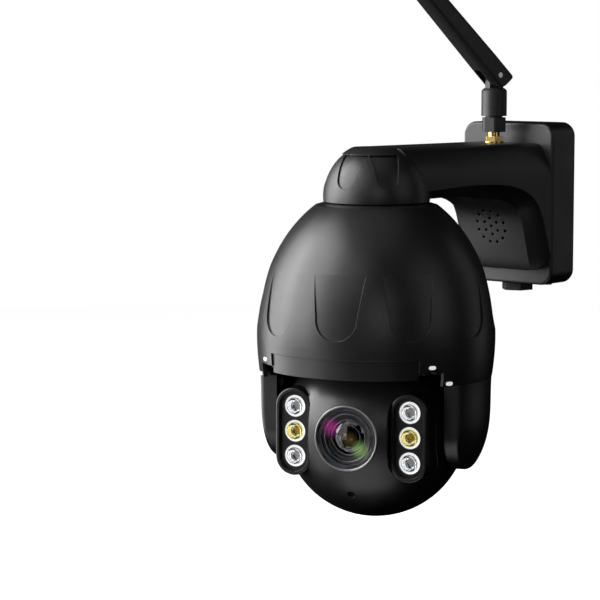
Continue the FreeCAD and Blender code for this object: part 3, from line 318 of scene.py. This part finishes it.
def materials():
    black = (0.0105, 0.0105, 0.0115)
    white = moulded("reflector_white", (0.88, 0.89, 0.9), 0.16, 0.05, radius=0.1 * MM, edge_lift=1.05, coat=0.6)
    # the white reflector material emits white light, a painted reflection standing in for light bouncing in
    # the lamp cups
    painted_glow_bsdf = white.node_tree.nodes["Principled BSDF"]
    painted_glow_bsdf.inputs["Emission Color"].default_value = (1, 1, 1, 1)
    painted_glow_bsdf.inputs["Emission Strength"].default_value = PAINTED_CUP_REFLECTION
    return {
        "bracket_plastic": moulded("bracket_plastic", black, 0.40),
        "housing_plastic": moulded("housing_plastic", black, 0.36),
        "ball_plastic": moulded("ball_plastic", black, 0.34),
        "pod_plastic": moulded("pod_plastic", (0.009, 0.009, 0.010), 0.30, 0.2),
        "gland_plastic": moulded("gland_plastic", (0.014, 0.014, 0.014), 0.48),
        "antenna_plastic": moulded("antenna_plastic", (0.012, 0.012, 0.013), 0.46, 0.35, 1800.0),
        "inner_plastic": moulded("inner_plastic", (0.035, 0.035, 0.04), 0.5),
        "gear_plastic": moulded("gear_plastic", (0.74, 0.71, 0.63), 0.38, 0.15, edge_lift=1.05),
        "sensor_black": moulded("sensor_black", (0.006, 0.006, 0.008), 0.18, 0.05),
        "hood_black": moulded("hood_black", (0.012, 0.012, 0.014), 0.42, 0.2, radius=0.15 * MM),
        "reflector_white": white,
        "chips": moulded("chips", (0.02, 0.02, 0.022), 0.5),
        "circuit_board": moulded("circuit_board", (0.015, 0.13, 0.045), 0.32, 0.1, 500.0, coat=0.3),
        "foam": moulded("foam", (0.02, 0.02, 0.02), 0.85, 0.9, 1200.0),
        "rubber": moulded("rubber", (0.014, 0.014, 0.014), 0.72, 0.5, 1500.0),
        "speaker": moulded("speaker", (0.03, 0.03, 0.034), 0.6),
        "steel": metal("steel", (0.56, 0.57, 0.59), 0.32),
        "screw_steel": metal("screw_steel", (0.62, 0.62, 0.64), 0.26),
        "black_screw": metal("black_screw", (0.03, 0.03, 0.032), 0.35),
        "motor": metal("motor", (0.5, 0.5, 0.52), 0.3),
        "gold": metal("gold", (0.83, 0.58, 0.22), 0.2, (1, 1, 60), 500.0),
        "brass": metal("brass", (0.72, 0.54, 0.24), 0.28),
        "trim_chrome": metal("trim_chrome", (0.3, 0.3, 0.31), 0.34, (1, 1, 1), 900.0),
        "window_glass": window_with_painted_reflections("window_glass"),
        "lens_glass": dark_lens("lens_glass"),
        "lamp_clear": glass("lamp_clear", (0.97, 0.98, 1.0), 0.02),
        "lamp_warm": glass("lamp_warm", (0.98, 0.88, 0.35), 0.02),
    }


# ---------------------------------------------------------------- mesh helpers

def along_lens(x, z):
    """Frame with Z pointing forward out of the lens and Y up, at height z and offset x on the pan axis."""
    return CAMERA_FRAME @ Matrix.Translation((x * MM, 0, z * MM)) @ Matrix.Rotation(math.pi / 2, 4, "X")


def lathe_into(bm, profile, matrix, material=0, segments=72, petals=0, depth=0.0, shaped=(), patch=None):
    """Turns a closed (radius, height) outline in mm about Z. Radii of 0 close on the axis.

    Points whose index is in shaped dip by depth in as many petals. A patch (material, indices,
    start, end) takes another material between two angles in degrees.
    """
    columns = []
    for i, (r, h) in enumerate(profile):
        if r == 0:
            columns.append([bm.verts.new(matrix @ Vector((0, 0, h * MM)))] * segments)
            continue
        column = []
        for k in range(segments):
            a = 2 * math.pi * k / segments
            dip = depth * abs(math.sin(a * petals / 2)) if i in shaped else 0.0
            column.append(bm.verts.new(matrix @ Vector((r * MM * math.cos(a), r * MM * math.sin(a),
                                                        (h + dip) * MM))))
        columns.append(column)
    for i, column in enumerate(columns):
        after = columns[(i + 1) % len(columns)]
        if column[0] is column[1] and after[0] is after[1]:
            continue
        for k in range(segments):
            j = (k + 1) % segments
            corners = []
            for v in (column[k], column[j], after[j], after[k]):
                if v not in corners:
                    corners.append(v)
            face = bm.faces.new(corners)
            face.material_index = material
            if patch and i in patch[1] and patch[2] <= 360 * k / segments < patch[3]:
                face.material_index = patch[0]
            face.smooth = True


def piece(name, bm, mats, body, nodes, sharp=32.0):
    me = bpy.data.meshes.new(name)
    bmesh.ops.recalc_face_normals(bm, faces=bm.faces)
    bm.to_mesh(me)
    bm.free()
    me.set_sharp_from_angle(angle=math.radians(sharp))
    for m in mats:
        me.materials.append(m)
    o = bpy.data.objects.new(name, me)
    bpy.context.scene.collection.objects.link(o)
    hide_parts(*nodes)
    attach(o, body)
    return o


# ---------------------------------------------------------------- lamps and lens

def lamp_sites():
    return [(s * POD_X, TILT_Z + k * LED_PITCH, k) for s in (-1, 1) for k in (-1, 0, 1)]


REFLECTOR = [(1.7, 29.7), (5.35, 29.7), (5.35, 35.05), (5.2, 35.2), (4.95, 35.1), (4.5, 34.2), (3.9, 33.0),
             (3.2, 31.9), (2.5, 31.1), (1.7, 30.8)]
LAMP_LENS = [(0, 31.4), (1.6, 31.4), (2.3, 32.0), (3.1, 33.0), (3.9, 34.3), (4.35, 35.2), (4.3, 35.5),
             (4.0, 35.62), (3.2, 35.45), (2.7, 35.2), (2.3, 35.3), (1.9, 35.75), (1.2, 36.1), (0.6, 36.25),
             (0, 36.3)]
LAMP_CHIP = [(0, 29.7), (1.5, 29.7), (1.5, 30.9), (1.3, 31.1), (0, 31.15)]


def build_lamps(mats):
    bm = bmesh.new()
    for x, z, _ in lamp_sites():
        # the inner rows of each cup take sensor_black from 80 to 300 degrees, over its upper and left side:
        # painted shade inside the cup
        lathe_into(bm, REFLECTOR, along_lens(x, z), petals=10, depth=0.5, shaped=(6, 7, 8),
                   patch=(1, (7, 8, 9), 80, 300))
    piece("lamp_reflector_cups", bm, [mats["reflector_white"], mats["sensor_black"]],
          "tilt_ball", ["led_reflectors"], 40)
    chip_white = moulded("infrared_chip", (0.75, 0.72, 0.70), 0.3, 0.1, edge_lift=1.05)
    chip_yellow = moulded("phosphor_chip", (0.85, 0.62, 0.04), 0.4, 0.2, edge_lift=1.05)
    for name, node, slot_name, chip, centre in (
            ("infrared_lamp_lenses", "ir_lamp_lenses", "lamp_clear", chip_white, False),
            ("warm_white_lamp_lenses", "warm_lamp_lenses", "lamp_warm", chip_yellow, True)):
        bm = bmesh.new()
        for x, z, k in lamp_sites():
            if (k == 0) == centre:
                lathe_into(bm, LAMP_LENS, along_lens(x, z), 0, 48)
                lathe_into(bm, LAMP_CHIP, along_lens(x, z), 1, 24)
        piece(name, bm, [mats["lamp_clear"] if not centre else mats["lamp_warm"], chip],
              "tilt_ball", [node], 40)


HOOD = [(15.2, 40.4), (15.2, 41.6), (14.9, 41.75), (13.5, 41.75), (13.25, 41.5), (13.1, 41.1), (12.4, 40.95),
        (12.0, 41.05), (11.6, 41.05), (11.4, 40.85), (11.2, 40.3), (10.6, 40.15), (9.8, 40.1), (9.6, 39.9),
        (9.5, 39.5), (9.0, 39.4), (8.75, 39.55), (8.45, 39.55), (8.3, 39.4), (8.3, 34.8), (13.3, 34.8),
        (13.9, 36.8), (14.5, 38.8)]
PLATEAU = [(15.25, 41.7), (14.9, 41.78), (13.5, 41.78), (13.45, 41.6), (15.25, 41.6)]
RINGS = (((12.05, 41.0), (11.9, 41.25), (11.7, 41.25), (11.55, 41.0)),
         ((8.95, 39.4), (8.75, 39.8), (8.45, 39.8), (8.32, 39.4)),
         ((6.15, 39.1), (6.0, 39.55), (5.75, 39.6), (5.6, 39.1)))
FRONT_LENS = [(0, 31.6), (8.2, 31.6), (8.2, 38.5), (7.0, 39.0), (5.0, 39.5), (2.5, 39.85), (0, 39.95)]


def build_lens(mats):
    bm = bmesh.new()
    at = along_lens(0, LENS_Z)
    lathe_into(bm, HOOD, at, segments=120)
    lathe_into(bm, PLATEAU, at, 1, 120)
    for ring in RINGS:
        lathe_into(bm, ring, at, 2, 120)
    satin = moulded("hood_satin_grey", (0.075, 0.075, 0.08), 0.34, 0.15, radius=0.15 * MM, edge_lift=1.4)
    piece("stepped_lens_hood", bm, [mats["hood_black"], satin, mats["trim_chrome"]],
          "tilt_ball", ["lens_hood"], 25)
    bm = bmesh.new()
    lathe_into(bm, FRONT_LENS, at, segments=96)
    piece("domed_front_lens", bm, [mats["lens_glass"]], "tilt_ball", ["front_lens"], 40)


# ---------------------------------------------------------------- build

make_camera()
mats = materials()
slots = {p["node"]: p["material_slot"] for p in frame["record"]["subparts"]}
# the screws in the notches are drawn in the near-black black_screw metal
slots["notch_screws"] = "black_screw"
for node, o in frame["nodes"].items():
    o.data.materials.clear()
    o.data.materials.append(mats[slots[node.split("[")[0]]])
build_lamps(mats)
build_lens(mats)

bpy.context.scene.view_settings.view_transform = "Standard"
white_surroundings()
floor()
for entry in LIGHTS:
    light(*entry)
